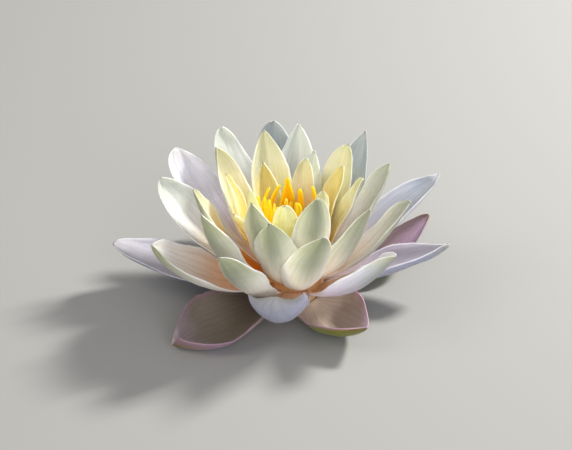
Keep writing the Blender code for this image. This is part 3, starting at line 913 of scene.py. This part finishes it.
def spindle(kind, number, heading, slope, turn, length):
    """A finger drawn out from a sphere, whose slope at the root turns further on the way to its tip."""
    bpy.ops.mesh.primitive_uv_sphere_add(segments=kind.segments, ring_count=kind.rings, radius=1)
    thing = bpy.context.active_object
    mesh = thing.data
    # The side away from the axis has the second skin
    for face in mesh.polygons:
        face.material_index = 1 if face.center.y > 0 else 0
    up = CROWN + kind.rise
    h = math.radians(heading)
    places = []
    for vertex in mesh.vertices:
        ring = math.acos(max(-1.0, min(1.0, -vertex.co.z))) / math.pi
        share = 1 - (1 - ring) ** 1.5
        pole = math.hypot(vertex.co.x, vertex.co.y) < POLE_REACH
        angle = math.atan2(vertex.co.y, vertex.co.x)
        wide, deep = (0.0, 0.0) if pole else kind.shape(share)
        across = kind.width / 2 * wide * math.cos(angle)
        thick = kind.depth / 2 * deep * math.sin(angle)
        places.append((0.5 + 0.5 * math.cos(angle), share))
        lean = math.radians(slope + turn * share / 2)
        tilt = math.radians(slope + turn * share)
        radial = kind.ring + length * share * math.cos(lean) + thick * math.sin(tilt)
        height = up + length * share * math.sin(lean) - thick * math.cos(tilt)
        vertex.co = (AXIS_X + (radial * math.cos(h) - across * math.sin(h)) * MM,
                     AXIS_Y + (radial * math.sin(h) + across * math.cos(h)) * MM, height * MM)
    # Drawn out, the sphere is its own mirror image, which leaves its faces inwards, so they are turned back
    mesh.flip_normals()
    chart_and_number(mesh, places, number)
    for skin in kind.skins:
        mesh.materials.append(skin)
    bpy.ops.object.shade_smooth()
    return thing


SPADE = Finger(ring=BROAD_RING, rise=ROOT_RISE, width=7.8, depth=1.2, shape=spade_shape,
               segments=20, rings=24, skins=(BROAD_FACE, BROAD_BACK))
TONGUE = Finger(ring=BROAD_RING, rise=ROOT_RISE, width=2.9, depth=2.0, shape=tongue_shape,
                segments=16, rings=22, skins=(BROAD_FACE, BROAD_BACK))
THREAD = Finger(ring=SLIM_RING, rise=ROOT_RISE, width=1.7, depth=1.3, shape=thread_shape,
                segments=10, rings=16, skins=(SLIM_SKIN, SLIM_SKIN))

# Heading, length, slope at the root and turn from root to tip of each tongue
TONGUES = (
    (140, 29.5, 57, 70), (174, 30, 56, 62), (192, 29, 68, 20), (208, 29.5, 72, 18), (223, 30, 74, 14),
    (261, 23, 78, 16), (289, 28.4, 80, 12), (316, 23, 78, 14), (344, 24, 77, 14), (8, 24, 78, 12),
    (32, 28.5, 62, 44), (67, 25.5, 70, 30),
)
stamens = [collar(BROAD_RING, BROAD_FACE)]
stamens.append(spindle(SPADE, number=0, heading=97, slope=76, turn=10, length=29))
for number, (heading, length, slope, turn) in enumerate(TONGUES, 1):
    stamens.append(spindle(TONGUE, number, heading, slope, turn, length))
settle(joined("stamens_broad_fine", stamens), "stamens_broad")

draw = random.Random(SLIM_SEED)
stamens = [collar(SLIM_RING, SLIM_SKIN)]
for number in range(SLIM_COUNT):
    heading = number * 360 / SLIM_COUNT + draw.uniform(-SLIM_SPREAD, SLIM_SPREAD)
    length = draw.uniform(*SLIM_LENGTHS)
    stamens.append(spindle(THREAD, number, heading, slope=82, turn=8, length=length))
settle(joined("stamens_slim_fine", stamens), "stamens_slim")


# Stigma, a cup with a knob in its middle and rays round its lip

STIGMA_RADIUS = 4.1
STIGMA_SIDES = 56
# Radius and height over the crown, from the foot up over the lip, down into the cup and up the knob
STIGMA_CUP = (
    (3.4, 0.0), (STIGMA_RADIUS, 1.8), (3.9, 1.9), (3.0, 0.9), (1.3, 0.7), (1.1, 1.4), (0.5, 1.8),
)
RAY_COUNT = 14
RAY_INSET = 0.6
RAY = Finger(ring=STIGMA_RADIUS - RAY_INSET, rise=0.9, width=1.1, depth=0.9, shape=ray_shape,
             segments=10, rings=10, skins=(STIGMA_SKIN, STIGMA_SKIN))

cup = turned([(radius, CROWN + height) for radius, height in STIGMA_CUP], STIGMA_SIDES, STIGMA_SKIN)
rays = [spindle(RAY, number, heading=number * 360 / RAY_COUNT, slope=100, turn=14, length=2.8)
        for number in range(RAY_COUNT)]
settle(joined("stigma_fine", [cup] + rays), "stigma")


# Floor, light and camera

# Sizes of the studio, in metres
FLOOR_SIZE = 6.0
CAMERA_DISTANCE = 1.176
CAMERA_CLIP = 0.05
# The camera looks down by CAMERA_TILT and aims a little left of the axis, at AIM_HEIGHT
CAMERA_TILT = 30
LENS = 200
SENSOR = 36
AIM_LEFT = 1.85
AIM_HEIGHT = 32.5
# Height of the bloom's middle, which the lights aim at, and brightness of the sky
BLOOM_MIDDLE = 30
SKY_STRENGTH = 0.4

# Plain sRGB display keeps the stamens' gold, which the default film-like display turns salmon.
bpy.context.scene.view_settings.view_transform = "Standard"


def paper():
    """Matt paper without pattern, so that only shadows show on it."""
    material, _, shader = new_material("matt paper backdrop", roughness=0.9)
    shader.inputs["Base Color"].default_value = linear("#9C9C9A")
    return material


def soft_light(name, place, size, power, colour):
    """A square soft box aimed at the middle of the bloom; size in metres and power in watts."""
    lamp = bpy.data.lights.new(name, "AREA")
    lamp.size = size
    lamp.energy = power
    lamp.color = linear(colour)[:3]
    box = bpy.data.objects.new(name, lamp)
    bpy.context.scene.collection.objects.link(box)
    box.location = place
    aim = Vector((AXIS_X, AXIS_Y, BLOOM_MIDDLE * MM))
    box.rotation_euler = (aim - Vector(place)).to_track_quat("-Z", "Y").to_euler()


bpy.ops.object.select_all(action="DESELECT")
bpy.ops.mesh.primitive_plane_add(size=FLOOR_SIZE, location=(0, 0, 0))
floor = bpy.context.active_object
floor.name = "floor"
floor.data.materials.append(paper())

world = bpy.data.worlds.new("studio")
world.use_nodes = True
sky = world.node_tree.nodes["Background"]
sky.inputs["Color"].default_value = linear("#E8ECF4")
sky.inputs["Strength"].default_value = SKY_STRENGTH
bpy.context.scene.world = world

soft_light("key", (0.58, 0.38, 0.62), size=0.16, power=13.4, colour="#FFFCF6")
soft_light("fill", (0.2, -0.9, 0.32), size=0.8, power=7.4, colour="#FBF8FC")
soft_light("bounce", (-0.6, -0.25, 0.75), size=0.5, power=2.4, colour="#FFF6E6")

camera = bpy.data.objects.new("camera", bpy.data.cameras.new("camera"))
bpy.context.scene.collection.objects.link(camera)
camera.data.lens = LENS
camera.data.sensor_width = SENSOR
camera.data.clip_start = CAMERA_CLIP
tilt = math.radians(CAMERA_TILT)
look = Vector((0, math.cos(tilt), -math.sin(tilt)))
aim = Vector((AXIS_X - AIM_LEFT * MM, AXIS_Y, AIM_HEIGHT * MM))
camera.location = aim - look * CAMERA_DISTANCE
camera.rotation_euler = look.to_track_quat("-Z", "Y").to_euler()
bpy.context.scene.camera = camera
